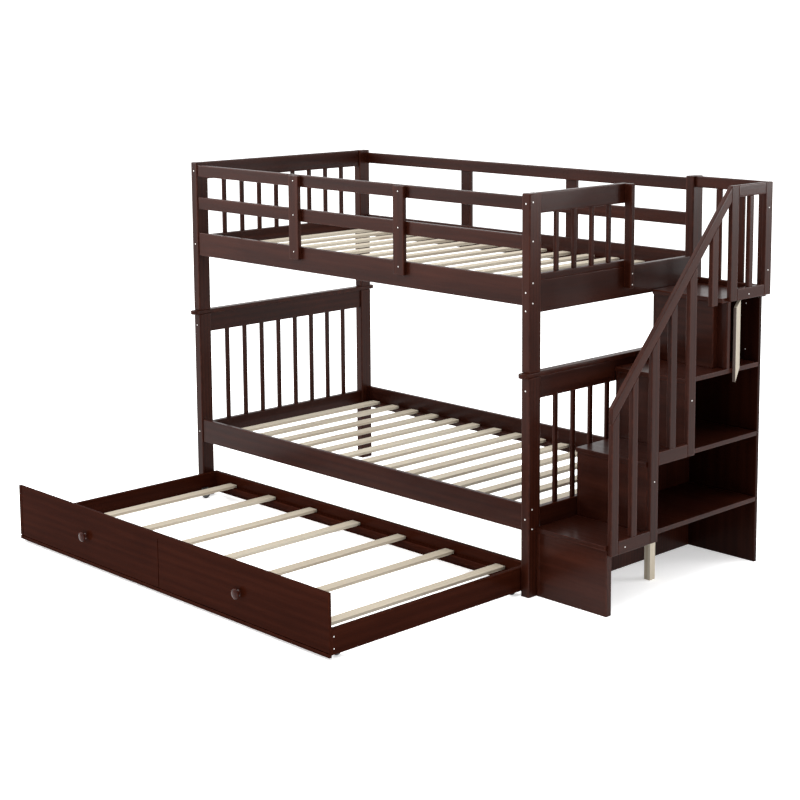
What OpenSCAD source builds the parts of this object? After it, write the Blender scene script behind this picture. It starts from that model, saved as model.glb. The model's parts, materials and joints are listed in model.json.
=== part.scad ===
// Bunk bed with a storage staircase, a handrail and a roll-out trundle.
// +X runs along the bed from the headboard to the staircase, +Y from the open side to the back.

/* [Bed] */
// length of the bed over the end posts
bed_l = 2040; // [1990:10:2110]
// width of the bed over the posts
bed_w = 1034; // [1014:2:1054]
// height of the bed to the top of the upper posts
bed_h = 1520; // [1500:5:1560]
// post size along the bed
post_x = 40; // [38:1:44]
// post size across the bed
post_y = 62; // [56:1:66]
// height of the lower posts
lower_post_h = 838; // [825:1:845]
// thickness of the cap lying across each pair of lower posts
cap_t = 18; // [14:1:20]
// how far each cap runs past the posts
cap_over = 30; // [10:2:40]
// thickness of the end rails
end_rail_t = 25; // [20:1:30]
// thickness of the long side rails and guard rails
side_rail_t = 18; // [16:1:20]
// setback of the side rails behind the post faces
side_setback = 5; // [3:1:8]

/* [Decks] */
// underside of the lower side rails
lower_rail_z = 254; // [250:1:262]
// height of all four long side rails
side_rail_h = 102; // [95:1:106]
// top of the lower deck slats
lower_deck_z = 298; // [290:1:310]
// underside of the upper side rails
upper_rail_z = 1105; // [1100:1:1112]
// top of the upper deck slats
upper_deck_z = 1150; // [1140:1:1160]
// number of slats in each deck
deck_slats = 14; // [10:1:15]
// width of one deck slat
deck_slat_w = 48; // [42:1:60]
// thickness of one deck slat
deck_slat_t = 12; // [10:1:18]

/* [Staircase] */
// width of the treads
stair_w = 339; // [320:1:360]
// rise of the first two steps
step_rise = 267; // [262:1:270]
// top of the third tread
tread3_z = 812; // [806:1:816]
// top of the platform
platform_z = 1090; // [1086:1:1094]
// going of one step
step_going = 226; // [222:1:230]
// thickness of the treads and the platform
tread_t = 18; // [16:1:20]
// thickness of the risers
riser_t = 28; // [18:1:30]

/* [Handrail] */
// thickness of all handrail and railing boards
hand_t = 18; // [16:1:20]
// angle of the sloped rail
slope_angle = 47.1; // [46.5:0.1:47.5]
// width of the sloped rail square to its length
slope_w = 40; // [34:1:44]

/* [Trundle] */
// height of the trundle front panel
panel_h = 228; // [215:1:230]
// thickness of the trundle front panel
panel_t = 12; // [9:1:15]
// depth of the trundle from the front panel to its rear rail
trundle_d = 1020; // [980:5:1020]
// diameter of the drawer knobs
knob_d = 40; // [30:1:44]
// diameter of the caster wheels
wheel_d = 42; // [38:1:44]
// number of trundle slats
trundle_slat_n = 7; // [5:1:8]

/* [Hidden] */
// node names, in the order they are drawn
// node to draw

espresso = [0.16, 0.085, 0.07];
pine = [0.80, 0.72, 0.58];
bolt_white = [0.88, 0.88, 0.86];
caster_grey = [0.55, 0.55, 0.57];
wheel_grey = [0.20, 0.20, 0.21];

// how far a bolt head stands proud
bolt_h = 1;

// overall box and the shift that puts the origin under its middle
stair_x0 = bed_l;
stair_x1 = stair_x0 + stair_w;
overall_l = stair_x1 + hand_t + bolt_h;
trundle_y0 = -947;
knob_out = 25;
overall_y0 = trundle_y0 - knob_out;
overall_y1 = bed_w + cap_over;
mid_x = overall_l / 2;
mid_y = (overall_y0 + overall_y1) / 2;

// bed ends
foot_x = bed_l - post_x;
inner_y0 = post_y;
inner_y1 = bed_w - post_y;
end_rail_x = (post_x - end_rail_t) / 2;
foot_rail_x = foot_x + end_rail_x;
end_bottom_z = 260;
end_bottom_h = 78;
end_top_h = 84;
end_top_z = lower_post_h - end_top_h;
upper_post_z = lower_post_h + cap_t;
upper_top_h = 76;
upper_top_z = bed_h - upper_top_h;
upper_bottom_z = 1118;
upper_bottom_h = 75;
wide_rail_z = 1077;
wide_rail_h = 120;
foot_strip_h = 24;
end_slat_n = 8;
end_slat_x = 12;
end_slat_y = 20;
end_slat_pitch = 100.3;
opening_y0 = 567;
end_stile_x = 35;
end_stile_y = 21;
end_stile_z = 1115;

// side rails, ledgers and guards
rail_y0 = side_setback;
rail_back_y0 = bed_w - side_setback - side_rail_t;
rail_x0 = post_x;
rail_l = bed_l - 2 * post_x;
ledger_h = 20;
ledger_w = 36;
ledger_y0 = rail_y0 + side_rail_t;
ledger_y1 = rail_back_y0 - ledger_w;
deck_gap = 21;
deck_y0 = ledger_y0 + deck_gap;
deck_y1 = rail_back_y0 - deck_gap;
deck_margin_head = 61;
deck_margin_foot = 83;
deck_x0 = rail_x0 + deck_margin_head;
deck_pitch = (rail_l - deck_margin_head - deck_margin_foot - deck_slat_w) / (deck_slats - 1);
guard_zs = [1313, 1458];
guard_hs = [53, 50];
guard_stile_w = 60;
front_stile_xs = [688, bed_l - guard_stile_w - 656];
back_stile_xs = [670, bed_l - guard_stile_w - 672];
guard_stile_z = 1155;
guard_stile_h = 350;

// staircase
side_panel_t = 12;
back_panel_t = 16;
nosing = 8;
stair_y0 = 44;
riser_ys = [for (i = [0:3]) stair_y0 + i * step_going];
tread_zs = [step_rise, 2 * step_rise, tread3_z, platform_z];
back_y0 = 958;
platform_y1 = 983;
tread_x0 = stair_x0 + side_panel_t;
tread_w = stair_x1 - tread_x0;
stud_w = 70;
stud_t = 20;
riser4_short = 47;
leg_x = 30;
leg_y = 32;
leg_x0 = stair_x0 + 162;
leg_y0 = 481;
batten_y0 = 786;
batten_w = 27;
batten_t = 15;
batten_z0 = 757;
batten_cut = 54;
batten_top_cut = 28;

// handrail
hand_x = stair_x1;
slope_y0 = 47;
slope_y1 = 740;
slope_base_z = 760.4;
slope_base_y = 89.5;
slope_v = slope_w / cos(slope_angle);
stile_ys = [47, 270, 488];
stile_ws = [41, 45, 45];
cross_zs = [228, 517];
cross_h = 50;
stile_zs = [cross_zs[0], cross_zs[0], cross_zs[1]];
spindle_ys = [160, 379, 622];
spindle_ws = [33, 37, 39];
spindle_zs = [cross_zs[0] + cross_h, cross_zs[1] + cross_h, platform_z - tread_t];
upper_frame_y0 = 740;
upper_frame_y1 = 1005;
upper_stile_w = 44;
upper_slat_y = 856;
upper_slat_w = 27;
upper_rail_h = 45;
upper_frame_z = 1077;
rear_y0 = platform_y1;
rear_z = 1067;
rear_slat_xs = [stair_x0 + 100, stair_x0 + 210];
rear_slat_w = 27;
rear_slat_t = 12;
rear_stile_w = 34;

// trundle
trundle_x0 = post_x + 3;
trundle_x1 = foot_x - 4;
panel_z = 11;
trundle_rail_t = 20;
trundle_rail_z = 18;
trundle_rail_h = 92;
trundle_y1 = trundle_y0 + trundle_d;
trundle_in_y0 = trundle_y0 + panel_t;
trundle_front_t = 20;
slat_top_z = 76;
trundle_slat_w = 48;
trundle_slat_t = 12;
trundle_slat_y1 = trundle_y1 - trundle_rail_t;
trundle_slat_y0 = trundle_in_y0 + trundle_front_t;
trundle_margin = 125.5;
trundle_slat_x0 = trundle_x0 + trundle_margin;
trundle_w = trundle_x1 - trundle_x0;
trundle_pitch = (trundle_w - 2 * trundle_margin - trundle_slat_w) / (trundle_slat_n - 1);
trundle_ledger = 22;
trundle_ledger_over = 43;
trundle_ledger_x0 = trundle_slat_x0 - trundle_ledger_over;
groove_w = 4;
groove_d = 4;
groove_top = 20;
bead_w = 3.5;
bead_d = 5;
bead_x = trundle_x0 + 18;
bead_z = panel_z + 14;
knob_z = 125;
knob_xs = [trundle_x0 + trundle_w / 4, trundle_x1 - trundle_w / 4];
caster_ys = [-887, -12];
wheel_w = 12;
wheel_r = wheel_d / 2;
fork_t = 2.5;
fork_in = 15;
fork_w = fork_in + 2 * fork_t;
caster_xs = [trundle_x0 + trundle_rail_t + fork_w / 2, trundle_x1 - trundle_rail_t - fork_w / 2];
axle_d = 6;
axle_gap = 0.08;
cheek_d = 14;
bridge_gap = 3;
bridge_t = 3;
bridge_top = wheel_r + bridge_gap + bridge_t;
flange_l = 34;
flange_h = 20;
bolt_d = 6;
screw_d = 5;
bolt_in = 17;
end_bolt_zs = [1482, 1155, 788, 300];
foot_bolt_z = 1087;
side_bolt_zs = [1488, 1345, 1191, 1116, 339, 264];
stile_screw_zs = [1484, 1341, 1187];
end_stile_screw_zs = [1172, 1129];
hand_screws = [[126, 250], [292, 460], [510, 730], [983, 1420], [983, 1175], [860, 1095]];
back_screw_x = stair_x1 - 63;
back_screw_zs = [1038, 855];
trundle_screw_zs = [40, 83];
trundle_screw_in = 10;

module placed()
{
    translate([-mid_x, -mid_y, 0])
    children();
}

// plain board from its low corner
module board(p, s)
{
    translate(p)
    cube(s);
}

module post(x, y, z, h)
{
    color(espresso)
    placed()
    board([x, y, z], [post_x, post_y, h]);
}

// cap board with half-round ends
module end_cap(x)
{
    color(espresso)
    placed()
    translate([x + post_x / 2, 0, lower_post_h])
    union()
    {
        translate([-post_x / 2, -cap_over + post_x / 2, 0])
        cube([post_x, bed_w + 2 * cap_over - post_x, cap_t]);
        for (y = [-cap_over + post_x / 2, bed_w + cap_over - post_x / 2])
        translate([0, y, 0])
        cylinder(d = post_x, h = cap_t, $fn = 48);
    }
}

// rail between the two posts of one end
module end_rail(x, z, h)
{
    color(espresso)
    placed()
    board([x, inner_y0, z], [end_rail_t, inner_y1 - inner_y0, h]);
}

// upright slats of one end
module end_slats(x, z0, z1, n)
{
    color(espresso)
    placed()
    for (i = [0:n - 1])
    translate([x + post_x / 2 - end_slat_x / 2, bed_w / 2 - end_slat_y / 2, z0])
    translate([0, (i - (end_slat_n - 1) / 2) * end_slat_pitch, 0])
    cube([end_slat_x, end_slat_y, z1 - z0]);
}

module upper_foot_top_rail()
{
    color(espresso)
    placed()
    board([foot_rail_x, inner_y0, upper_top_z], [end_rail_t, opening_y0 - inner_y0, upper_top_h]);
}

// wide footboard rail with the strip that carries the slats
module upper_foot_wide_rail()
{
    color(espresso)
    placed()
    union()
    {
        board([foot_rail_x, inner_y0, wide_rail_z], [end_rail_t, inner_y1 - inner_y0, wide_rail_h]);
        board([foot_rail_x, inner_y0, wide_rail_z + wide_rail_h],
            [end_rail_t, opening_y0 - inner_y0, foot_strip_h]);
    }
}

module upper_foot_end_stile()
{
    color(espresso)
    placed()
    board([foot_rail_x + end_rail_t, opening_y0 - end_stile_y, end_stile_z],
        [end_stile_x, end_stile_y, bed_h - end_stile_z]);
}

// side rail with the ledger that carries the deck slats
module side_rail(y, ledger_y, z, deck_z)
{
    color(espresso)
    placed()
    union()
    {
        board([rail_x0, y, z], [rail_l, side_rail_t, side_rail_h]);
        board([rail_x0, ledger_y, deck_z - deck_slat_t - ledger_h], [rail_l, ledger_w, ledger_h]);
    }
}

module deck(z)
{
    color(pine)
    placed()
    for (i = [0:deck_slats - 1])
    board([deck_x0 + i * deck_pitch, deck_y0, z - deck_slat_t],
        [deck_slat_w, deck_y1 - deck_y0, deck_slat_t]);
}

module guard_rails(y)
{
    color(espresso)
    placed()
    for (i = [0:len(guard_zs) - 1])
    board([rail_x0, y, guard_zs[i]], [rail_l, side_rail_t, guard_hs[i]]);
}

module guard_stiles(y, xs)
{
    color(espresso)
    placed()
    for (x = xs)
    board([x, y, guard_stile_z], [guard_stile_w, side_rail_t, guard_stile_h]);
}

// stepped panel between the bed and the staircase
module stair_side_panel()
{
    color(espresso)
    placed()
    for (i = [0:3])
    board([stair_x0, riser_ys[i], 0],
        [side_panel_t, (i < 3 ? riser_ys[i + 1] : back_y0) - riser_ys[i], tread_zs[i] - tread_t]);
}

module stair_risers()
{
    color(espresso)
    placed()
    for (i = [0:3])
    board([tread_x0, riser_ys[i], i == 0 ? 0 : tread_zs[i - 1]],
        [tread_w - (i == 3 ? riser4_short : 0), riser_t,
        tread_zs[i] - tread_t - (i == 0 ? 0 : tread_zs[i - 1])]);
}

// three treads that run back as shelves
module stair_treads()
{
    color(espresso)
    placed()
    for (i = [0:2])
    union()
    {
        board([tread_x0, riser_ys[i] - nosing, tread_zs[i] - tread_t],
            [tread_w, back_y0 - riser_ys[i] + nosing, tread_t]);
        board([stair_x0, riser_ys[i] - nosing, tread_zs[i] - tread_t],
            [side_panel_t, step_going + nosing, tread_t]);
    }
}

module stair_platform()
{
    color(espresso)
    placed()
    board([stair_x0, riser_ys[3] - nosing, platform_z - tread_t],
        [stair_w, platform_y1 - riser_ys[3] + nosing, tread_t]);
}

module stair_back_panel()
{
    color(espresso)
    placed()
    board([stair_x0, back_y0, 0], [stair_w, back_panel_t, platform_z - tread_t]);
}

// upright behind the free end of the top riser
module stair_stud()
{
    color(espresso)
    placed()
    board([stair_x1 - stud_w, riser_ys[3] + riser_t, tread3_z],
        [stud_w, stud_t, platform_z - tread_t - tread3_z]);
}

module stair_centre_leg()
{
    color(pine)
    placed()
    board([leg_x0, leg_y0, 0], [leg_x, leg_y, step_rise - tread_t]);
}

// batten on the open side, both ends cut on the slant
module stair_batten()
{
    color(pine)
    placed()
    translate([hand_x, batten_y0, 0])
    rotate([90, 0, 90])
    linear_extrude(height = batten_t)
    polygon([[0, batten_z0], [batten_w, batten_z0 + batten_cut],
        [batten_w, upper_frame_z], [0, upper_frame_z - batten_top_cut]]);
}

// height of the underside of the sloped rail at a given depth
function slope_z(y) = slope_base_z + (y - slope_base_y) * tan(slope_angle);

// upright on the open side, its top cut to the slope
module slope_upright(y, w, z)
{
    translate([hand_x, y, 0])
    rotate([90, 0, 90])
    linear_extrude(height = hand_t)
    polygon([[0, z], [w, z], [w, slope_z(y + w)], [0, slope_z(y)]]);
}

module handrail_slope()
{
    color(espresso)
    placed()
    translate([hand_x, 0, 0])
    rotate([90, 0, 90])
    linear_extrude(height = hand_t)
    polygon([[slope_y0, slope_z(slope_y0)], [slope_y1, slope_z(slope_y1)],
        [slope_y1, slope_z(slope_y1) + slope_v], [slope_y0, slope_z(slope_y0) + slope_v]]);
}

module handrail_stiles()
{
    color(espresso)
    placed()
    {
        for (i = [0:2])
        slope_upright(stile_ys[i], stile_ws[i], stile_zs[i]);
        for (y = [upper_frame_y0, upper_frame_y1 - upper_stile_w])
        board([hand_x, y, upper_frame_z], [hand_t, upper_stile_w, bed_h - upper_frame_z]);
    }
}

module handrail_spindles()
{
    color(espresso)
    placed()
    {
        for (i = [0:2])
        slope_upright(spindle_ys[i], spindle_ws[i], spindle_zs[i]);
        board([hand_x, upper_slat_y, upper_frame_z + upper_rail_h],
            [hand_t, upper_slat_w, bed_h - upper_frame_z - 2 * upper_rail_h]);
    }
}

module handrail_cross_rails()
{
    color(espresso)
    placed()
    {
        for (i = [0:1])
        board([hand_x, stile_ys[i] + stile_ws[i], cross_zs[i]],
            [hand_t, stile_ys[i + 1] - stile_ys[i] - stile_ws[i], cross_h]);
        for (z = [upper_frame_z, bed_h - upper_rail_h])
        board([hand_x, upper_frame_y0 + upper_stile_w, z],
            [hand_t, upper_frame_y1 - upper_frame_y0 - 2 * upper_stile_w, upper_rail_h]);
    }
}

// railing behind the platform
module rear_railing()
{
    color(espresso)
    placed()
    union()
    {
        for (z = [rear_z, bed_h - upper_rail_h])
        board([bed_l, rear_y0, z], [stair_x1 - bed_l - rear_stile_w, hand_t, upper_rail_h]);
        for (x = rear_slat_xs)
        board([x, rear_y0 + (hand_t - rear_slat_t) / 2, rear_z + upper_rail_h],
            [rear_slat_w, rear_slat_t, bed_h - rear_z - 2 * upper_rail_h]);
        board([stair_x1 - rear_stile_w, rear_y0, rear_z], [rear_stile_w, hand_t, bed_h - rear_z]);
    }
}

// front panel grooved into two false drawer fronts, with fine lines near its left and lower edges
module trundle_front_panel()
{
    color(espresso)
    placed()
    difference()
    {
        board([trundle_x0, trundle_y0, panel_z], [trundle_w, panel_t, panel_h]);
        board([(trundle_x0 + trundle_x1) / 2 - groove_w / 2, trundle_y0 - 1, panel_z - 1],
            [groove_w, groove_d + 1, panel_h - groove_top + 1]);
        board([bead_x, trundle_y0 - 1, panel_z - 1], [bead_w, bead_d + 1, panel_h + 2]);
        board([trundle_x0 - 1, trundle_y0 - 1, bead_z], [trundle_w + 2, bead_d + 1, bead_w]);
    }
}

module trundle_side_rail(x)
{
    color(espresso)
    placed()
    board([x, trundle_in_y0, trundle_rail_z],
        [trundle_rail_t, trundle_y1 - trundle_in_y0, trundle_rail_h]);
}

// cross rail with the ledger that carries the trundle slats
module trundle_cross_rail(y, t, ledger_y)
{
    color(espresso)
    placed()
    union()
    {
        board([trundle_x0 + trundle_rail_t, y, trundle_rail_z],
            [trundle_w - 2 * trundle_rail_t, t, trundle_rail_h]);
        board([trundle_ledger_x0, ledger_y, slat_top_z - trundle_slat_t - trundle_ledger],
            [trundle_x0 + trundle_x1 - 2 * trundle_ledger_x0, trundle_ledger, trundle_ledger]);
    }
}

module trundle_slats()
{
    color(pine)
    placed()
    for (i = [0:trundle_slat_n - 1])
    board([trundle_slat_x0 + i * trundle_pitch, trundle_slat_y0 + 1, slat_top_z - trundle_slat_t],
        [trundle_slat_w, trundle_slat_y1 - trundle_slat_y0 - 2, trundle_slat_t]);
}

// turned knobs on the false drawer fronts
module trundle_knobs()
{
    color(espresso)
    placed()
    for (x = knob_xs)
    translate([x, trundle_y0, knob_z])
    rotate([90, 0, 0])
    union()
    {
        cylinder(d = knob_d * 0.5, h = knob_out * 0.5, $fn = 48);
        translate([0, 0, knob_out * 0.4])
        cylinder(d1 = knob_d * 0.7, d2 = knob_d, h = knob_out * 0.25, $fn = 48);
        translate([0, 0, knob_out * 0.65])
        cylinder(d1 = knob_d, d2 = knob_d * 0.7, h = knob_out * 0.35, $fn = 48);
    }
}

// fixed casters: fork, axle pin and the flange screwed to the side rail
module caster_brackets()
{
    color(caster_grey)
    placed()
    for (i = [0:1])
    for (y = caster_ys)
    translate([caster_xs[i], y, wheel_r])
    mirror([i, 0, 0])
    union()
    {
        for (x = [-fork_w / 2, fork_in / 2])
        fork_cheek(x);
        translate([-fork_w / 2, -cheek_d / 2, bridge_top - bridge_t])
        cube([fork_w, cheek_d, bridge_t]);
        translate([-fork_w / 2, -flange_l / 2, bridge_top - flange_h])
        cube([fork_t, flange_l, flange_h]);
        translate([-fork_w / 2, 0, 0])
        rotate([0, 90, 0])
        cylinder(d = axle_d, h = fork_w, $fn = 48);
    }
}

// one cheek of a caster fork, round at the axle
module fork_cheek(x)
{
    translate([x, 0, 0])
    union()
    {
        rotate([0, 90, 0])
        cylinder(d = cheek_d, h = fork_t, $fn = 48);
        translate([0, -cheek_d / 2, 0])
        cube([fork_t, cheek_d, bridge_top]);
    }
}

module caster_wheel(x, y)
{
    color(wheel_grey)
    placed()
    translate([x - wheel_w / 2, y, wheel_r])
    rotate([0, 90, 0])
    difference()
    {
        cylinder(d = wheel_d, h = wheel_w, $fn = 96);
        translate([0, 0, -1])
        cylinder(d = axle_d + 2 * axle_gap, h = wheel_w + 2, $fn = 96);
    }
}

// one flat bolt head facing along an axis
module head_disc(p, r, d)
{
    translate(p)
    rotate(r)
    cylinder(d = d, h = bolt_h, $fn = 32);
}

module frame_bolt_heads()
{
    color(bolt_white)
    placed()
    {
        for (x = [post_x / 2, foot_x + post_x / 2])
        for (z = end_bolt_zs)
        {
            head_disc([x, 0, z], [90, 0, 0], bolt_d);
            head_disc([x, bed_w, z], [-90, 0, 0], bolt_d);
        }
        head_disc([foot_x + post_x / 2, 0, foot_bolt_z], [90, 0, 0], bolt_d);
        for (z = side_bolt_zs)
        head_disc([bed_l, bolt_in, z], [0, 90, 0], bolt_d);
        for (z = stile_screw_zs)
        {
            for (x = front_stile_xs)
            head_disc([x + guard_stile_w / 2, rail_y0 - side_rail_t, z], [90, 0, 0], screw_d);
            for (x = back_stile_xs)
            head_disc([x + guard_stile_w / 2, rail_back_y0 + 2 * side_rail_t, z], [-90, 0, 0], screw_d);
        }
        for (z = end_stile_screw_zs)
        head_disc([foot_rail_x + end_rail_t + end_stile_x, opening_y0 - end_stile_y / 2, z],
            [0, 90, 0], screw_d);
        for (p = hand_screws)
        head_disc([hand_x + hand_t, p[0], p[1]], [0, 90, 0], screw_d);
        for (z = back_screw_zs)
        head_disc([back_screw_x, back_y0, z], [90, 0, 0], screw_d);
    }
}

module trundle_screw_heads()
{
    color(bolt_white)
    placed()
    for (z = trundle_screw_zs)
    head_disc([trundle_x1, trundle_in_y0 + trundle_screw_in, z], [0, 90, 0], screw_d);
}

post(0, 0, 0, lower_post_h);  // lower_post_head_front
post(0, bed_w - post_y, 0, lower_post_h);  // lower_post_head_back
post(foot_x, 0, 0, lower_post_h);  // lower_post_foot_front
post(foot_x, bed_w - post_y, 0, lower_post_h);  // lower_post_foot_back
post(0, 0, upper_post_z, bed_h - upper_post_z);  // upper_post_head_front
post(0, bed_w - post_y, upper_post_z, bed_h - upper_post_z);  // upper_post_head_back
post(foot_x, 0, upper_post_z, bed_h - upper_post_z);  // upper_post_foot_front
post(foot_x, bed_w - post_y, upper_post_z, bed_h - upper_post_z);  // upper_post_foot_back
end_cap(0);  // end_cap_head
end_cap(foot_x);  // end_cap_foot
end_rail(end_rail_x, end_top_z, end_top_h);  // lower_head_top_rail
end_rail(end_rail_x, end_bottom_z, end_bottom_h);  // lower_head_bottom_rail
end_slats(0, end_bottom_z + end_bottom_h, end_top_z, end_slat_n);  // lower_head_slats
end_rail(foot_rail_x, end_top_z, end_top_h);  // lower_foot_top_rail
end_rail(foot_rail_x, end_bottom_z, end_bottom_h);  // lower_foot_bottom_rail
end_slats(foot_x, end_bottom_z + end_bottom_h, end_top_z, end_slat_n);  // lower_foot_slats
end_rail(end_rail_x, upper_top_z, upper_top_h);  // upper_head_top_rail
end_rail(end_rail_x, upper_bottom_z, upper_bottom_h);  // upper_head_bottom_rail
end_slats(0, upper_bottom_z + upper_bottom_h, upper_top_z, end_slat_n);  // upper_head_slats
upper_foot_top_rail();
upper_foot_wide_rail();
end_slats(foot_x, wide_rail_z + wide_rail_h + foot_strip_h, upper_top_z, 4);  // upper_foot_slats
upper_foot_end_stile();
side_rail(rail_y0, ledger_y0, lower_rail_z, lower_deck_z);  // lower_side_rail_front
side_rail(rail_back_y0, ledger_y1, lower_rail_z, lower_deck_z);  // lower_side_rail_back
side_rail(rail_y0, ledger_y0, upper_rail_z, upper_deck_z);  // upper_side_rail_front
side_rail(rail_back_y0, ledger_y1, upper_rail_z, upper_deck_z);  // upper_side_rail_back
deck(lower_deck_z);  // lower_deck_slats
deck(upper_deck_z);  // upper_deck_slats
guard_rails(rail_y0);  // front_guard_rails
guard_rails(rail_back_y0);  // back_guard_rails
guard_stiles(rail_y0 - side_rail_t, front_stile_xs);  // front_guard_stiles
guard_stiles(rail_back_y0 + side_rail_t, back_stile_xs);  // back_guard_stiles
stair_side_panel();
stair_risers();
stair_treads();
stair_platform();
stair_back_panel();
stair_stud();
stair_centre_leg();
stair_batten();
handrail_slope();
handrail_stiles();
handrail_spindles();
handrail_cross_rails();
rear_railing();
trundle_front_panel();
trundle_side_rail(trundle_x0);  // trundle_side_rail_head
trundle_side_rail(trundle_x1 - trundle_rail_t);  // trundle_side_rail_foot
trundle_cross_rail(trundle_in_y0, trundle_front_t, trundle_slat_y0);  // trundle_front_rail
trundle_cross_rail(trundle_slat_y1, trundle_rail_t, trundle_slat_y1 - trundle_ledger);  // trundle_rear_rail
trundle_slats();
trundle_knobs();
caster_brackets();
caster_wheel(caster_xs[0], caster_ys[0]);  // wheel_front_head
caster_wheel(caster_xs[1], caster_ys[0]);  // wheel_front_foot
caster_wheel(caster_xs[0], caster_ys[1]);  // wheel_rear_head
caster_wheel(caster_xs[1], caster_ys[1]);  // wheel_rear_foot
frame_bolt_heads();
trundle_screw_heads();
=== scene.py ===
import json
import math
import random
from itertools import product

import bmesh
import bpy
from mathutils import Matrix, Vector
from mathutils.bvhtree import BVHTree


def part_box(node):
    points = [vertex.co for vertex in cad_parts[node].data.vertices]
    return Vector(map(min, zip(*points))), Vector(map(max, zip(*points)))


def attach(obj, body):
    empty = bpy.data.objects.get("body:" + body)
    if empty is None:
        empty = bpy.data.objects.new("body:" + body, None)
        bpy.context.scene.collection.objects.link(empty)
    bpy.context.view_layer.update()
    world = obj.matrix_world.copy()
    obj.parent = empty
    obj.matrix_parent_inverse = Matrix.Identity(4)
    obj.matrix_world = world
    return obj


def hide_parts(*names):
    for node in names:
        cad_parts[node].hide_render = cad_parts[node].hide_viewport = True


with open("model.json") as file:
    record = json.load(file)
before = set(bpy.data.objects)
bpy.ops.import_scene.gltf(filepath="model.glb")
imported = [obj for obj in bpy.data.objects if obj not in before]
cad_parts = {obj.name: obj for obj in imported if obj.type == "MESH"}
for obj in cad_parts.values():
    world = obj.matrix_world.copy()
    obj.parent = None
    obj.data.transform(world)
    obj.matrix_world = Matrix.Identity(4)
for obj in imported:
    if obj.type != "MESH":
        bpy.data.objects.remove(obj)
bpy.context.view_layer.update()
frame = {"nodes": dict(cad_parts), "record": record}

NODES = frame["nodes"]
BODY = {n: b for b, ns in frame["record"]["behaviour"]["bodies"].items() for n in ns}
SLOT = {s["node"]: s["material_slot"] for s in frame["record"]["subparts"]}
SEED = 4127
RNG = random.Random(SEED)
X, Y, Z = Vector((1, 0, 0)), Vector((0, 1, 0)), Vector((0, 0, 1))


# ---------------------------------------------------------------- materials
class Net:
    """A material's node tree, with short calls for the nodes used here."""

    def __init__(self, name):
        self.mat = bpy.data.materials.new(name)
        self.mat.use_nodes = True
        self.t = self.mat.node_tree
        self.t.nodes.clear()
        self.out = self.t.nodes.new("ShaderNodeOutputMaterial")
        self.bsdf = self.t.nodes.new("ShaderNodeBsdfPrincipled")
        self.t.links.new(self.bsdf.outputs[0], self.out.inputs[0])

    def put(self, socket, value):
        if isinstance(value, bpy.types.NodeSocket):
            self.t.links.new(value, socket)
        else:
            socket.default_value = value

    def attribute(self, name, kind="Vector"):
        n = self.t.nodes.new("ShaderNodeAttribute")
        n.attribute_name = name
        return n.outputs[kind]

    def scaled(self, vector, scale):
        n = self.t.nodes.new("ShaderNodeMapping")
        self.t.links.new(vector, n.inputs["Vector"])
        n.inputs["Scale"].default_value = scale
        return n.outputs[0]

    def noise(self, vector, scale, detail=3.0, rough=0.55, distort=0.0):
        n = self.t.nodes.new("ShaderNodeTexNoise")
        self.t.links.new(vector, n.inputs["Vector"])
        n.inputs["Scale"].default_value = scale
        n.inputs["Detail"].default_value = detail
        n.inputs["Roughness"].default_value = rough
        n.inputs["Distortion"].default_value = distort
        return n.outputs[0]

    def cells(self, vector, scale):
        n = self.t.nodes.new("ShaderNodeTexVoronoi")
        self.t.links.new(vector, n.inputs["Vector"])
        n.inputs["Scale"].default_value = scale
        return n.outputs["Distance"]

    def bands(self, vector, scale, distort):
        n = self.t.nodes.new("ShaderNodeTexWave")
        n.wave_type = "BANDS"
        n.bands_direction = "Y"
        self.t.links.new(vector, n.inputs["Vector"])
        n.inputs["Scale"].default_value = scale
        n.inputs["Distortion"].default_value = distort
        n.inputs["Detail"].default_value = 2.0
        n.inputs["Detail Scale"].default_value = 0.6
        return n.outputs["Fac"]

    def ramp(self, fac, stops):
        n = self.t.nodes.new("ShaderNodeValToRGB")
        self.t.links.new(fac, n.inputs[0])
        e = n.color_ramp.elements
        e[0].position, e[0].color = stops[0][0], stops[0][1] + (1,)
        e[1].position, e[1].color = stops[-1][0], stops[-1][1] + (1,)
        for at, c in stops[1:-1]:
            m = e.new(at)
            m.color = c + (1,)
        return n.outputs[0]

    def remap(self, fac, a, b, c, d):
        n = self.t.nodes.new("ShaderNodeMapRange")
        self.t.links.new(fac, n.inputs["Value"])
        for name, v in zip(("From Min", "From Max", "To Min", "To Max"), (a, b, c, d)):
            n.inputs[name].default_value = v
        return n.outputs[0]

    def mix(self, fac, a, b, blend="MIX"):
        n = self.t.nodes.new("ShaderNodeMix")
        n.data_type = "RGBA"
        n.blend_type = blend
        self.put(n.inputs[0], fac)
        self.put(n.inputs[6], a)
        self.put(n.inputs[7], b)
        return n.outputs[2]

    def math(self, op, a, b):
        n = self.t.nodes.new("ShaderNodeMath")
        n.operation = op
        self.put(n.inputs[0], a)
        self.put(n.inputs[1], b)
        return n.outputs[0]

    def bump(self, height, strength, distance):
        n = self.t.nodes.new("ShaderNodeBump")
        n.inputs["Strength"].default_value = strength
        n.inputs["Distance"].default_value = distance
        self.t.links.new(height, n.inputs["Height"])
        return n.outputs[0]

    def shader(self, **kw):
        for k, v in kw.items():
            self.put(self.bsdf.inputs[k.replace("_", " ")], v)
        return self.mat


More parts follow.
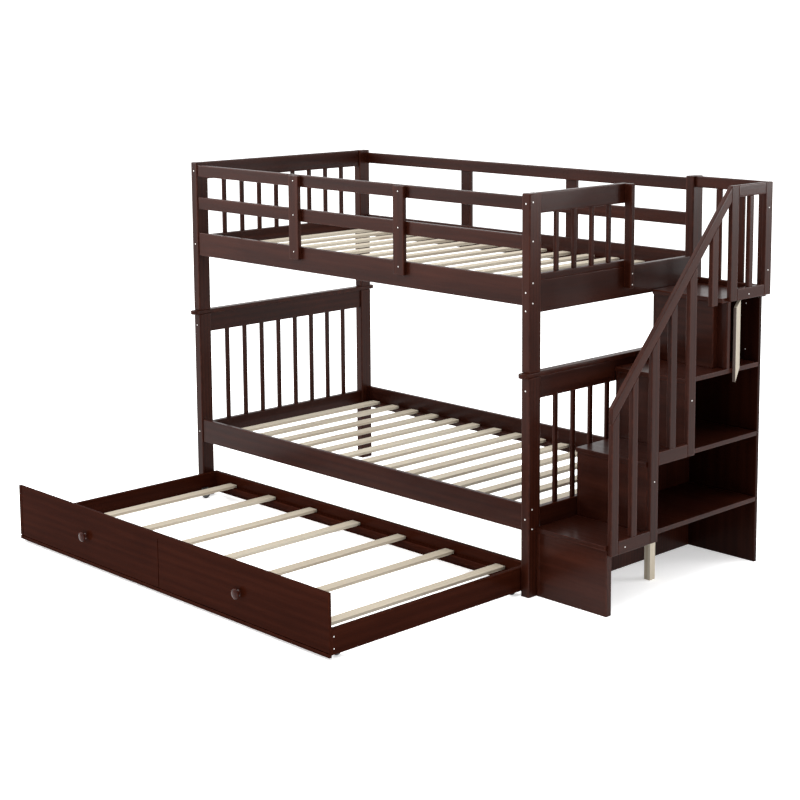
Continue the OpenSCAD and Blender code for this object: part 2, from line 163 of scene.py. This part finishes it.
def stained_wood(name, stain, rough, coat, spec):
    """Stained board under lacquer: long grain streaks, broad tone changes, fine pores and rubbed edges."""
    dark, mid, light = stain
    n = Net(name)
    g = n.attribute("grain")
    tone = n.attribute("tone", "Fac")
    edge = n.attribute("edge", "Fac")
    broad = n.noise(n.scaled(g, (1.1, 5.0, 5.0)), 1.6, 3.0, 0.5, 0.4)
    streak = n.noise(n.scaled(g, (2.2, 46.0, 46.0)), 1.7, 4.0, 0.6, 0.3)
    rings = n.bands(n.scaled(g, (0.35, 9.0, 9.0)), 2.2, 5.0)
    pores = n.noise(n.scaled(g, (14.0, 420.0, 420.0)), 1.2, 2.0, 0.5)
    v = n.math("ADD", n.math("MULTIPLY", broad, 0.45), n.math("MULTIPLY", streak, 0.35))
    v = n.math("ADD", v, n.math("MULTIPLY", rings, 0.12))
    v = n.math("ADD", v, n.math("MULTIPLY", tone, 0.10))
    base = n.ramp(v, ((0.30, dark), (0.52, mid), (0.72, light)))
    base = n.mix(n.remap(pores, 0.60, 0.76, 0.0, 0.45), base, tuple(c * 0.35 for c in dark) + (1,))
    worn = n.math("MULTIPLY", n.remap(n.noise(g, 38.0, 3.0, 0.6), 0.42, 0.66, 0.0, 1.0), edge)
    base = n.mix(n.math("MULTIPLY", worn, 0.30), base, tuple(min(1.0, c * 2.1) for c in light) + (1,))
    r = n.remap(streak, 0.3, 0.7, rough - 0.05, rough + 0.06)
    r = n.math("ADD", r, n.math("MULTIPLY", worn, 0.08))
    relief = n.math("SUBTRACT", n.math("MULTIPLY", streak, 0.6), n.remap(pores, 0.58, 0.8, 0.0, 0.8))
    return n.shader(
        Base_Color=base,
        Roughness=r,
        Normal=n.bump(relief, 0.35, 0.0006),
        Coat_Weight=coat,
        Coat_IOR=1.15,
        Coat_Roughness=0.2,
        Specular_IOR_Level=spec,
        IOR=1.5,
    )


def bare_pine(name, painted_light_gain=1.0):
    """Unfinished sanded pine: pale, with soft growth lines, a few knots and dusty edges. The gain scales the
    whole colour: above one it is painted light, below one it is painted shade.
    """
    n = Net(name)
    g = n.attribute("grain")
    tone = n.attribute("tone", "Fac")
    edge = n.attribute("edge", "Fac")
    broad = n.noise(n.scaled(g, (0.9, 7.0, 7.0)), 1.8, 2.0, 0.5, 0.5)
    rings = n.bands(n.scaled(g, (0.5, 15.0, 15.0)), 2.4, 7.0)
    streak = n.noise(n.scaled(g, (3.0, 120.0, 120.0)), 1.4, 3.0, 0.6)
    knot = n.cells(n.scaled(g, (1.0, 3.2, 3.2)), 2.1)
    v = n.math("ADD", n.math("MULTIPLY", rings, 0.42), n.math("MULTIPLY", broad, 0.28))
    v = n.math("ADD", v, n.math("MULTIPLY", streak, 0.18))
    v = n.math("ADD", v, n.math("MULTIPLY", tone, 0.22))
    shades = ((0.20, (0.224, 0.184, 0.134)), (0.50, (0.300, 0.257, 0.195)), (0.85, (0.368, 0.332, 0.265)))
    base = n.ramp(v, [(at, tuple(c * painted_light_gain for c in shade)) for at, shade in shades])
    base = n.mix(n.remap(knot, 0.035, 0.11, 0.55, 0.0), base, (0.20, 0.12, 0.07, 1))
    base = n.mix(n.math("MULTIPLY", edge, 0.12), base, (0.50, 0.46, 0.39, 1))
    # faces marked dark take this dark brown-grey in place of the pine
    darkened = n.ramp(v, ((0.20, (0.042, 0.028, 0.022)), (0.85, (0.085, 0.062, 0.052))))
    base = n.mix(n.attribute("stain", "Fac"), base, darkened)
    relief = n.math("ADD", n.math("MULTIPLY", streak, 0.7), n.math("MULTIPLY", rings, 0.3))
    return n.shader(
        Base_Color=base,
        Roughness=n.remap(streak, 0.3, 0.7, 0.58, 0.72),
        Normal=n.bump(relief, 0.4, 0.0005),
        IOR=1.45,
    )


def plain(name, a, b, rough, metal=0.0, coat=0.0):
    """Small moulded or plated parts: mottled colour, scuffs in the gloss and a fine bump."""
    mottle = 220.0
    n = Net(name)
    c = n.t.nodes.new("ShaderNodeTexCoord").outputs["Object"]
    spots = n.noise(c, mottle, 3.0, 0.6)
    fine = n.noise(c, mottle * 9.0, 2.0, 0.5)
    return n.shader(
        Base_Color=n.ramp(spots, ((0.35, a), (0.65, b))),
        Roughness=n.remap(spots, 0.3, 0.7, rough - 0.05, rough + 0.08),
        Normal=n.bump(fine, 0.15, 0.0002),
        Metallic=metal,
        Coat_Weight=coat,
        Coat_Roughness=0.12,
    )


# dark, middle and light tone of each stain
ESPRESSO = ((0.0098, 0.0019, 0.0009), (0.0175, 0.0036, 0.0016), (0.0275, 0.0063, 0.0030))
ESPRESSO_EVEN = ((0.0120, 0.0024, 0.0011), (0.0175, 0.0036, 0.0016), (0.0240, 0.0053, 0.0025))
# a darker copy of the espresso: painted shade for the stair's back panel, inside its compartments
ESPRESSO_PAINTED_SHADE = ((0.0050, 0.0010, 0.0005), (0.0098, 0.0020, 0.0009), (0.0150, 0.0034, 0.0016))
ESPRESSO_GLOSS = ((0.0130, 0.0022, 0.0010), (0.0250, 0.0044, 0.0020), (0.040, 0.0085, 0.0040))

MATS = {
    "espresso_wood": stained_wood("espresso_satin", ESPRESSO, rough=0.42, coat=0.6, spec=0.04),
    "knob_wood": stained_wood("espresso_gloss", ESPRESSO_GLOSS, rough=0.25, coat=0.9, spec=0.04),
    "painted_shade_wood": stained_wood("espresso_painted_shade", ESPRESSO_PAINTED_SHADE, rough=0.46, coat=0.4, spec=0.02),
    "trundle_wood": stained_wood("espresso_matt", ESPRESSO_EVEN, rough=0.46, coat=0.15, spec=0.0),
    "pine": bare_pine("pine_bare"),
    # a lighter and a darker copy of the same pine: painted light for the stair's leg, painted shade for the
    # batten
    "pine_painted_lit": bare_pine("pine_lit_copy", 1.15),
    "pine_painted_shaded": bare_pine("pine_shaded_copy", 0.8),
    "bolt_white": plain("cap_white", (0.52, 0.50, 0.48), (0.64, 0.62, 0.60), 0.34, coat=0.3),
    "caster_steel": plain("caster_zinc", (0.09, 0.09, 0.095), (0.15, 0.15, 0.16), 0.38, metal=1.0),
    "wheel_plastic": plain("wheel_dark", (0.022, 0.022, 0.024), (0.045, 0.045, 0.048), 0.46),
}


# ---------------------------------------------------------------- solids of the CAD nodes
MERGE = 2e-5  # points closer than this are one
FLAT = math.radians(0.6)  # faces that turn by less than this are one
RAY_STEP = 1e-5  # how far past a hit the next ray starts
MOST_CROSSINGS = 60


def solids(node):
    """The separate solids of a CAD node, each as (points, faces), in a fixed order."""
    bm = bmesh.new()
    bm.from_mesh(NODES[node].data)
    bmesh.ops.remove_doubles(bm, verts=bm.verts, dist=MERGE)
    bmesh.ops.dissolve_limit(bm, angle_limit=FLAT, verts=bm.verts, edges=bm.edges)
    left, out = set(bm.faces), []
    while left:
        todo, group = [left.pop()], []
        while todo:
            f = todo.pop()
            group.append(f)
            for e in f.edges:
                for k in e.link_faces:
                    if k in left:
                        left.discard(k)
                        todo.append(k)
        group.sort(key=lambda f: f.index)
        index, pts, faces = {}, [], []
        for f in group:
            row = []
            for v in f.verts:
                if v not in index:
                    index[v] = len(pts)
                    pts.append(v.co.copy())
                row.append(index[v])
            faces.append(row)
        out.append((pts, faces))
    bm.free()
    out.sort(key=lambda s: tuple(round(sum(p[a] for p in s[0]) / len(s[0]), 4) for a in range(3)))
    return out


def limits(pts):
    """The lowest and highest corner of some points."""
    lo = Vector([min(p[a] for p in pts) for a in range(3)])
    hi = Vector([max(p[a] for p in pts) for a in range(3)])
    return lo, hi


def block(lo, hi):
    """Points and faces of a box."""
    corners = ((lo[0], lo[1]), (hi[0], lo[1]), (hi[0], hi[1]), (lo[0], hi[1]))
    p = [Vector((x, y, z)) for z in (lo[2], hi[2]) for x, y in corners]
    return p, [[3, 2, 1, 0], [4, 5, 6, 7], [0, 1, 5, 4], [1, 2, 6, 5], [2, 3, 7, 6], [3, 0, 4, 7]]


def split(pts, faces, order):
    """Splits a right-angled solid into boards, each grown as far as it can along the axes in that order."""
    grid = [sorted({round(p[a], 5) for p in pts}) for a in range(3)]
    tree = BVHTree.FromPolygons(pts, faces)
    ray = Vector((0.0131, 0.0077, 1.0)).normalized()

    def inside(p):
        for crossings in range(MOST_CROSSINGS):
            hit = tree.ray_cast(p, ray)[0]
            if hit is None:
                return crossings % 2 == 1
            p = hit + ray * RAY_STEP
        return False

    cells = set()
    for cell in product(*(range(len(row) - 1) for row in grid)):
        if inside(Vector([(grid[a][n] + grid[a][n + 1]) / 2 for a, n in enumerate(cell)])):
            cells.add(cell)
    out = []
    while cells:
        lo = list(min(cells))
        hi = [n + 1 for n in lo]
        for a in order:
            while True:
                more = [range(lo[b], hi[b]) for b in range(3)]
                more[a] = [hi[a]]
                if not set(product(*more)) <= cells:
                    break
                hi[a] += 1
        cells -= set(product(*(range(lo[b], hi[b]) for b in range(3))))
        out.append(block([grid[a][lo[a]] for a in range(3)], [grid[a][hi[a]] for a in range(3)]))
    return out


# ---------------------------------------------------------------- boards
EASE = 0.002  # rounding of a board's edges where nothing else is said
SHARP = math.radians(28)  # edges that turn by more than this are rounded
BROAD_AREA, BROAD_EDGE = 1.2e-4, 0.004  # a face with more area and no shorter edge gets a rim
RIM = 0.0045  # width of that rim, where a board can look rubbed
RIM_SHARE = 0.28  # the rim takes no more than this share of the face's shortest edge
RIM_LEAST = 0.0006  # a narrower rim is left out
GRAIN_SHIFT, GRAIN_TURN = 40, 0.5  # how far each board's grain may be moved and turned


class Piece:
    """A mesh put together from boards, with grain, tone and edge values at its points."""

    def __init__(self, name):
        self.name = name
        self.bm = bmesh.new()
        layers = self.bm.verts.layers
        self.grain = layers.float_vector.new("grain")
        self.tone = layers.float.new("tone")
        self.edge = layers.float.new("edge")
        self.stain = self.bm.faces.layers.float.new("stain")

    def add(self, pts, faces, along, round_off=EASE, segments=2, band=RIM, darkened=None):
        """One board: its edges are rounded, and its grain runs along a direction."""
        sub = bmesh.new()
        vs = [sub.verts.new(p) for p in pts]
        for f in faces:
            try:
                sub.faces.new([vs[i] for i in f])
            except ValueError:
                pass
        bmesh.ops.recalc_face_normals(sub, faces=sub.faces)
        sharp = [e for e in sub.edges if len(e.link_faces) == 2 and e.calc_face_angle(0) > SHARP]
        bmesh.ops.bevel(
            sub, geom=sharp, offset=round_off, segments=segments, profile=0.5,
            affect="EDGES", clamp_overlap=True,
        )
        mark = {}
        for f in sub.faces:
            size = min(e.calc_length() for e in f.edges)
            t = min(band, size * RIM_SHARE)
            if f.calc_area() > BROAD_AREA and size > BROAD_EDGE and t > RIM_LEAST:
                mark.setdefault(round(t, 4), []).append(f)
        inner = set()
        for t, fs in sorted(mark.items()):
            bmesh.ops.inset_individual(sub, faces=fs, thickness=t, use_even_offset=True)
            for f in fs:
                inner.update(f.verts)
        along = along.normalized()
        side = along.cross(Z if abs(along.z) < 0.9 else X).normalized()
        up = along.cross(side)
        shift = Vector([RNG.uniform(-GRAIN_SHIFT, GRAIN_SHIFT) for _ in range(3)])
        turn = RNG.uniform(-GRAIN_TURN, GRAIN_TURN)
        tone = RNG.random()
        new = {}
        for v in sub.verts:
            w = self.bm.verts.new(v.co)
            a, b = v.co.dot(side), v.co.dot(up)
            across = a * math.cos(turn) - b * math.sin(turn)
            through = a * math.sin(turn) + b * math.cos(turn)
            w[self.grain] = shift + Vector((v.co.dot(along), across, through))
            w[self.tone] = tone
            w[self.edge] = 0.0 if v in inner else 1.0
            new[v] = w
        for f in sub.faces:
            k = self.bm.faces.new([new[v] for v in f.verts])
            k.smooth = True
            # faces that the test picks are marked to be coloured dark
            if darkened and darkened(f.normal):
                k[self.stain] = 1.0
        sub.free()

    def lathe(self, centre, axis, profile, sides):
        """A turned solid: profile is (radius, height along axis) from one end to the other."""
        axis = axis.normalized()
        u = axis.cross(Z if abs(axis.z) < 0.9 else X).normalized()
        w = axis.cross(u)
        shift = Vector([RNG.uniform(-GRAIN_SHIFT, GRAIN_SHIFT) for _ in range(3)])
        rings = []
        for r, h in profile:
            row = []
            for i in range(sides if r > 1e-7 else 1):
                a = 2 * math.pi * i / sides
                p = centre + axis * h + (u * math.cos(a) + w * math.sin(a)) * r
                v = self.bm.verts.new(p)
                v[self.grain] = shift + Vector((p.dot(w), p.dot(u), p.dot(axis)))
                v[self.tone] = 0.5
                v[self.edge] = 0.0
                row.append(v)
            rings.append(row)
        for a, b in zip(rings, rings[1:]):
            for i in range(sides):
                j = (i + 1) % sides
                q = [a[i % len(a)], a[j % len(a)], b[j % len(b)], b[i % len(b)]]
                q = [v for n, v in enumerate(q) if v not in q[:n]]
                if len(q) > 2:
                    self.bm.faces.new(q).smooth = True

    def done(self, node, material=None, weighted=True):
        """Makes the object. It rides on the node's body, replaces the node and takes its slot's material
        unless another is given.
        """
        bmesh.ops.recalc_face_normals(self.bm, faces=self.bm.faces)
        me = bpy.data.meshes.new(self.name)
        self.bm.to_mesh(me)
        self.bm.free()
        me.materials.append(MATS[material or SLOT[node]])
        o = bpy.data.objects.new(self.name, me)
        bpy.context.scene.collection.objects.link(o)
        if weighted:
            m = o.modifiers.new("even shading", "WEIGHTED_NORMAL")
            m.mode = "FACE_AREA"
            m.weight = 60
            m.keep_sharp = False
        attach(o, BODY[node])
        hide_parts(node)


def longest(pts):
    """The axis along which some points reach furthest."""
    lo, hi = limits(pts)
    d = hi - lo
    return (X, Y, Z)[max(range(3), key=lambda a: d[a])]


# rounding of the edges, by how the node's name starts
ROUND = {
    "lower_post": 0.003,
    "upper_post": 0.003,
    "lower_deck": 0.001,
    "upper_deck": 0.001,
    "trundle_slats": 0.001,
    "stair_side": 0.0012,
    "stair_back": 0.0015,
    "stair_risers": 0.0015,
    "stair_tread": 0.0015,
    "stair_platform": 0.003,
    "trundle_front_panel": 0.0011,
    "handrail": 0.0025,
}
RAILING_ROUND = 0.0025
CAP_ROUND = 0.004
FORK_ROUND = 0.0004
CAP_STEPS = 16
KNOB_SIDES, BOLT_SIDES, WHEEL_SIDES = 64, 20, 64
# nodes whose solids are cut into boards, by the axis that the boards run along
SPLIT_Y = ("upper_foot_wide_rail",)
SPLIT_X = ("lower_side_rail_front", "lower_side_rail_back", "upper_side_rail_front", "upper_side_rail_back",
           "trundle_front_rail", "trundle_rear_rail")
CAPS = ("end_cap_head", "end_cap_foot")
# the way the grain runs where it isn't simply the longest side
GRAIN = {
    "stair_side_panel": Z,
    "stair_back_panel": Z,
    "stair_risers": X,
    "stair_treads": X,
    "stair_platform": X,
}
SLOPE_RISE = 0.93  # share of the sloped rail's height that its grain climbs
# faces of a bare board that are coloured dark, by their normal: all but the batten's outer face and its ends
DARK_FACES = {"stair_batten": lambda n: n.x < 0.5 and abs(n.z) < 0.4}
# the back panel takes the darker espresso copy as painted shade; the leg and the batten take the lighter and
# darker pine copies as painted light and shade
FINISH = {"stair_centre_leg": "pine_painted_lit", "stair_batten": "pine_painted_shaded", "stair_back_panel": "painted_shade_wood"}


def finish(node):
    """The material of a board: the stair's back panel takes a darker espresso copy as painted shade, the leg
    and the batten take a lighter and a darker pine copy as painted light and shade, and the trundle's
    espresso boards are more matt.
    """
    if BODY[node] == "trundle" and SLOT[node] == "espresso_wood":
        return "trundle_wood"
    return FINISH.get(node, SLOT[node])


def boards(node):
    """Every board of a node, with its rounded edges, its grain and its finish."""
    piece = Piece(node + ".board")
    size = next((v for k, v in ROUND.items() if node.startswith(k)), EASE)
    for pts, faces in solids(node):
        parts = [(pts, faces)]
        if node in SPLIT_X:
            parts = split(pts, faces, (0, 2, 1))
        if node in SPLIT_Y:
            parts = split(pts, faces, (1, 2, 0))
        for p, f in parts:
            along = GRAIN.get(node) or longest(p)
            if node == "handrail_slope":
                lo, hi = limits(p)
                along = Vector((0, hi.y - lo.y, (hi.z - lo.z) * SLOPE_RISE))
            piece.add(p, f, along, size, darkened=DARK_FACES.get(node))
    piece.done(node, finish(node))


def end_cap(node):
    """A cap board with half-round ends."""
    lo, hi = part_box(node)
    r = (hi.x - lo.x) / 2
    cx = (lo.x + hi.x) / 2
    ring = []
    for cy, a0 in ((hi.y - r, 0.0), (lo.y + r, math.pi)):
        for i in range(CAP_STEPS + 1):
            a = a0 + math.pi * i / CAP_STEPS
            ring.append((cx + r * math.cos(a), cy + r * math.sin(a)))
    n = len(ring)
    pts = [Vector((x, y, z)) for z in (lo.z, hi.z) for x, y in ring]
    faces = [list(range(n))[::-1], list(range(n, 2 * n))]
    faces += [[i, (i + 1) % n, n + (i + 1) % n, n + i] for i in range(n)]
    piece = Piece(node + ".board")
    piece.add(pts, faces, Y, CAP_ROUND, 3, band=0.0)
    piece.done(node)


def rear_railing():
    """The railing behind the platform, board by board: two rails, two slats and the end stile."""
    pts = solids("rear_railing")[0][0]
    xs, ys, zs = (sorted({round(p[a], 5) for p in pts}) for a in range(3))
    lo, hi = limits(pts)
    stile_x = xs[5]
    piece = Piece("rear_railing.board")
    for z0, z1 in ((zs[0], zs[1]), (zs[2], zs[3])):
        piece.add(*block((xs[0], lo.y, z0), (stile_x, hi.y, z1)), X, RAILING_ROUND)
    for i in (1, 3):
        piece.add(*block((xs[i], ys[1], zs[1]), (xs[i + 1], ys[2], zs[2])), Z, RAILING_ROUND)
    piece.add(*block((stile_x, lo.y, lo.z), (xs[6], hi.y, hi.z)), Z, RAILING_ROUND)
    piece.done("rear_railing")


# the knob's outline from its foot to its face, as parts of its radius and of how far it stands out
KNOB = (
    (0.0, 0.0), (0.62, 0.0), (0.64, 0.03), (0.60, 0.07), (0.46, 0.11), (0.40, 0.18), (0.38, 0.30),
    (0.44, 0.38), (0.66, 0.45), (0.86, 0.52), (0.97, 0.60), (1.0, 0.68), (0.98, 0.76), (0.90, 0.85),
    (0.78, 0.905), (0.74, 0.90), (0.70, 0.915), (0.52, 0.965), (0.28, 0.992), (0.0, 1.0),
)


def knobs():
    """The turned knobs of the drawer fronts."""
    piece = Piece("trundle_knobs.turned")
    for pts, _ in solids("trundle_knobs"):
        lo, hi = limits(pts)
        r, h = (hi.x - lo.x) / 2, hi.y - lo.y
        foot = Vector(((lo.x + hi.x) / 2, hi.y, (lo.z + hi.z) / 2))
        piece.lathe(foot, -Y, [(a * r, b * h) for a, b in KNOB], KNOB_SIDES)
    piece.done("trundle_knobs", weighted=False)


# a bolt cap's outline, domed with a small socket in its middle, as parts of its radius and its height
BOLT_CAP = (
    (0.0, 0.0), (1.0, 0.0), (1.0, 0.25), (0.93, 0.60), (0.72, 0.88),
    (0.42, 1.0), (0.34, 0.98), (0.30, 0.55), (0.0, 0.50),
)


def bolt_caps(node):
    """Bolt and screw caps, facing away from the middle of the deck. The staircase's Y ones face the front."""
    piece = Piece(node + ".caps")
    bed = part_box("lower_deck_slats") if node == "frame_bolt_heads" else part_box("trundle_slats")
    mid = (bed[0] + bed[1]) / 2
    for pts, _ in solids(node):
        lo, hi = limits(pts)
        d = hi - lo
        c = (lo + hi) / 2
        a = min(range(3), key=lambda i: d[i])
        axis = (X, Y, Z)[a]
        r, h = d[(a + 1) % 3] / 2, d[a]
        out = axis if c[a] > mid[a] else -axis
        if a == 1 and c.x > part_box("stair_side_panel")[0].x:
            out = -Y
        piece.lathe(c - out * (h / 2), out, [(p * r, q * h) for p, q in BOLT_CAP], BOLT_SIDES)
    piece.done(node, weighted=False)


def caster_forks():
    """The forks keep their CAD shape, with eased edges."""
    piece = Piece("caster_brackets.fork")
    for pts, faces in solids("caster_brackets"):
        piece.add(pts, faces, Z, FORK_ROUND, 1, band=0.0)
    piece.done("caster_brackets")


def wheel(node):
    """A caster wheel: rounded tread, recessed faces and a raised hub, bored for its axle."""
    lo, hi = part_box(node)
    r, w = (hi.z - lo.z) / 2, hi.x - lo.x
    bore = 0.0031
    half = (
        (bore, 0.0), (0.0062, 0.0), (0.0066, 0.0012), (0.0072, 0.0022), (r * 0.70, 0.0024),
        (r * 0.76, 0.0008), (r * 0.88, 0.0004), (r * 0.97, 0.0020), (r, 0.0045),
    )
    shape = list(half) + [(a, w - b) for a, b in reversed(half)] + [half[0]]
    piece = Piece(node + ".tyre")
    piece.lathe(Vector((lo.x, (lo.y + hi.y) / 2, (lo.z + hi.z) / 2)), X, shape, WHEEL_SIDES)
    piece.done(node)


for node in sorted(NODES):
    if SLOT[node] in ("espresso_wood", "pine") and node not in CAPS and node != "rear_railing":
        boards(node)
for node in CAPS:
    end_cap(node)
rear_railing()
knobs()
for node in ("frame_bolt_heads", "trundle_screw_heads"):
    bolt_caps(node)
caster_forks()
for node in ("wheel_front_head", "wheel_front_foot", "wheel_rear_head", "wheel_rear_foot"):
    wheel(node)


# ---------------------------------------------------------------- floor, light and camera
FLOOR = 30  # half the floor's side
FLOOR_GLOW = 0.45
WORLD_STRENGTH = 1.2

floor = bpy.data.meshes.new("floor")
corners = [(-FLOOR, -FLOOR, 0), (FLOOR, -FLOOR, 0), (FLOOR, FLOOR, 0), (-FLOOR, FLOOR, 0)]
floor.from_pydata(corners, [], [(0, 1, 2, 3)])
net = Net("floor_pale")
coords = net.t.nodes.new("ShaderNodeTexCoord").outputs["Object"]
PALE = ((0.3, (0.955, 0.955, 0.955)), (0.7, (0.97, 0.97, 0.97)))
floor.materials.append(
    net.shader(
        Base_Color=net.ramp(net.noise(coords, 3.0, 3.0), PALE),
        Roughness=0.9,
        Specular_IOR_Level=0.1,
        Emission_Color=(1, 1, 1, 1),
        Emission_Strength=FLOOR_GLOW,
    )
)
ground = bpy.data.objects.new("floor", floor)
bpy.context.scene.collection.objects.link(ground)

world = bpy.data.worlds.new("studio")
world.use_nodes = True
world.node_tree.nodes["Background"].inputs["Color"].default_value = (1, 1, 1, 1)
world.node_tree.nodes["Background"].inputs["Strength"].default_value = WORLD_STRENGTH
bpy.context.scene.world = world


def area(name, place, aim, size, power, spread=180):
    """A soft rectangular lamp that points at a place."""
    lamp = bpy.data.lights.new(name, "AREA")
    lamp.shape = "RECTANGLE"
    lamp.size, lamp.size_y = size
    lamp.energy = power
    lamp.spread = math.radians(spread)
    o = bpy.data.objects.new(name, lamp)
    o.location = place
    o.rotation_euler = (Vector(aim) - Vector(place)).to_track_quat("-Z", "Y").to_euler()
    bpy.context.scene.collection.objects.link(o)


area("key", (-3.6, -2.8, 2.5), aim=(-0.4, 0, 1.7), size=(2.6, 1.4), power=38, spread=55)
area("side", (4.5, 4.3, 1.8), aim=(1.2, 0.5, 1.5), size=(2.6, 1.4), power=26, spread=60)
area("top", (-0.4, -1.4, 7.6), aim=(0, -0.3, 0.3), size=(9.0, 8.0), power=800)

# the camera: where it stands, which way it looks, and its lens
EYE = Vector((5.0589, -4.66289, 2.15196))
HEADING, TILT, ROLL = math.radians(45.13475), math.radians(8.02485), math.radians(-0.17189)
LENS, SENSOR = 78.06, 36.0
SHIFT = (-0.0603, -0.1722)

ahead = Vector((-math.sin(HEADING) * math.cos(TILT), math.cos(HEADING) * math.cos(TILT), -math.sin(TILT)))
right = Vector((math.cos(HEADING), math.sin(HEADING), 0))
down = ahead.cross(right)
cam = bpy.data.cameras.new("camera")
cam.sensor_width = SENSOR
cam.lens = LENS
cam.shift_x, cam.shift_y = SHIFT
cam.clip_end = 200
camera = bpy.data.objects.new("camera", cam)
m = Matrix((
    right * math.cos(ROLL) - down * math.sin(ROLL),
    -right * math.sin(ROLL) - down * math.cos(ROLL),
    -ahead,
)).transposed().to_4x4()
m.translation = EYE
camera.matrix_world = m
bpy.context.scene.collection.objects.link(camera)
bpy.context.scene.camera = camera
bpy.context.scene.view_settings.view_transform = "Standard"
